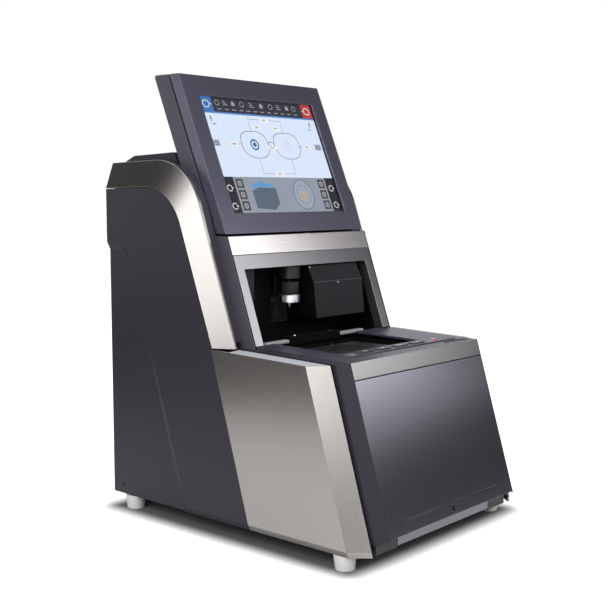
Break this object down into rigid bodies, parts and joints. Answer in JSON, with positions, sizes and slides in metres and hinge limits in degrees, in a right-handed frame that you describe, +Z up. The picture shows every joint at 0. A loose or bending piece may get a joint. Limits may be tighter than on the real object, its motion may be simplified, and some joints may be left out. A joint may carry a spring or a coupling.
{
  "type": "lens blocker",
  "caption": "Bench-top lens blocker: low front case with a sunk lens stage, a tower cavity with a lowering arm, a tilting touch display and a shallow drawer.",
  "frame": {"origin": "centre of the footprint box on the floor the feet stand on", "axes": "+X to the user's right, -Y towards the user, +Z up"},
  "size_m": [0.322, 0.4392, 0.5531],
  "materials": {
    "charcoal_plastic": "fine texture, satin",
    "black_plastic": "matt",
    "silver_paint": "warm metallic, fine grain",
    "bright_strip": "brushed",
    "gunmetal": "fine brushed",
    "dark_panel": "brushed satin",
    "frame_metal": "satin metallic",
    "deck_paint": "satin",
    "key_grey": "satin",
    "lamp_red": "clear red",
    "white_rubber": "matt",
    "bare_steel": "ground",
    "pale_metal": "satin anodised",
    "bright_aluminium": "turned",
    "zinc_sheet": "zinc plated",
    "board_green": "solder resist",
    "window_glass": "frosted dark",
    "touch_glass": "clear",
    "screen": "lit display"
  },
  "bodies": {
    "cabinet": {"base_plate": "zinc_sheet", "rubber_feet": "white_rubber", "front_panel": "dark_panel", "front_top_trim": "gunmetal", "deck_plate": "deck_paint", "key_panel": "key_grey", "status_lamp": "lamp_red", "stage_tray": "black_plastic", "stage_table": "deck_paint", "stage_window": "window_glass", "lens_rest_pins": "black_plastic", "cross_rails": "pale_metal", "cross_block": "black_plastic", "tower_frame": "frame_metal", "trim_strip": "bright_strip", "tower_shell": "charcoal_plastic", "cavity_liner": "black_plastic", "camera_housing": "deck_paint", "camera_unit": "black_plastic", "top_cover": "charcoal_plastic", "rear_cover": "charcoal_plastic", "power_inlet": "black_plastic", "power_supply": "zinc_sheet", "control_board": "board_green", "rail_frame": "zinc_sheet", "travel_rods": "bare_steel", "travel_screw": "bare_steel", "travel_motor": "black_plastic", "hinge_pins": "bare_steel", "hinge_bracket": "zinc_sheet", "drawer_runners": "bare_steel", "side_cover_left": "charcoal_plastic", "side_cover_right": "charcoal_plastic", "arch_band_left": "silver_paint", "arch_band_right": "silver_paint", "front_side_panel_left": "silver_paint", "front_side_panel_right": "silver_paint", "corner_post_left": "charcoal_plastic", "corner_post_right": "charcoal_plastic"},
    "display": {"display_frame": "charcoal_plastic", "touch_panel": "touch_glass", "lcd_panel": "screen", "display_rear_cover": "charcoal_plastic", "display_hinge_plate": "zinc_sheet"},
    "carriage": {"carriage": "bright_aluminium", "lift_guides": "bare_steel", "lift_motor": "black_plastic"},
    "arm": {"arm_beam": "black_plastic"},
    "chuck": {"chuck_holder": "black_plastic", "clamp_ring": "bright_aluminium", "block_pin": "bright_aluminium"},
    "drawer": {"drawer_front": "dark_panel", "drawer_tray": "pale_metal"},
    "catch": {"drawer_catch": "bare_steel"},
    "rocker": {"power_rocker": "black_plastic"},
    "key_1": {"key_1": "key_grey"},
    "key_2": {"key_2": "key_grey"},
    "key_3": {"key_3": "key_grey"},
    "key_4": {"key_4": "key_grey"}
  },
  "joints": [
    {"name": "display_tilt", "type": "hinge", "parent": "cabinet", "child": "display", "pos_m": [0, 0.1196, 0.4531], "axis": [-1, 0, 0], "range_deg": [0, 28.5]},
    {"name": "arm_travel", "type": "slide", "parent": "cabinet", "child": "carriage", "axis": [0, -1, 0], "range_m": [0, 0.099]},
    {"name": "arm_lower", "type": "slide", "parent": "carriage", "child": "arm", "axis": [0, 0, -1], "range_m": [0, 0.042]},
    {"name": "chuck_turn", "type": "hinge", "parent": "arm", "child": "chuck", "pos_m": [-0.013, 0.0342, 0.2861], "axis": [0, 0, 1], "range_deg": [-180, 180]},
    {"name": "drawer_slide", "type": "slide", "parent": "cabinet", "child": "drawer", "axis": [0, -1, 0], "range_m": [0, 0.15]},
    {"name": "catch_press", "type": "slide", "parent": "drawer", "child": "catch", "axis": [0, 0.9583, -0.2857], "range_m": [0, 0.0015], "stiffness_N_per_m": 300},
    {"name": "power_rock", "type": "hinge", "parent": "cabinet", "child": "rocker", "pos_m": [0.062, 0.2148, 0.0701], "axis": [1, 0, 0], "range_deg": [0, 12.5]},
    {"name": "key_1_press", "type": "slide", "parent": "cabinet", "child": "key_1", "axis": [0, 0.0267, -0.9996], "range_m": [0, 0.0012], "stiffness_N_per_m": 400},
    {"name": "key_2_press", "type": "slide", "parent": "cabinet", "child": "key_2", "axis": [0, 0.0267, -0.9996], "range_m": [0, 0.0012], "stiffness_N_per_m": 400},
    {"name": "key_3_press", "type": "slide", "parent": "cabinet", "child": "key_3", "axis": [0, 0.0267, -0.9996], "range_m": [0, 0.0012], "stiffness_N_per_m": 400},
    {"name": "key_4_press", "type": "slide", "parent": "cabinet", "child": "key_4", "axis": [0, 0.0267, -0.9996], "range_m": [0, 0.0012], "stiffness_N_per_m": 400}
  ]
}
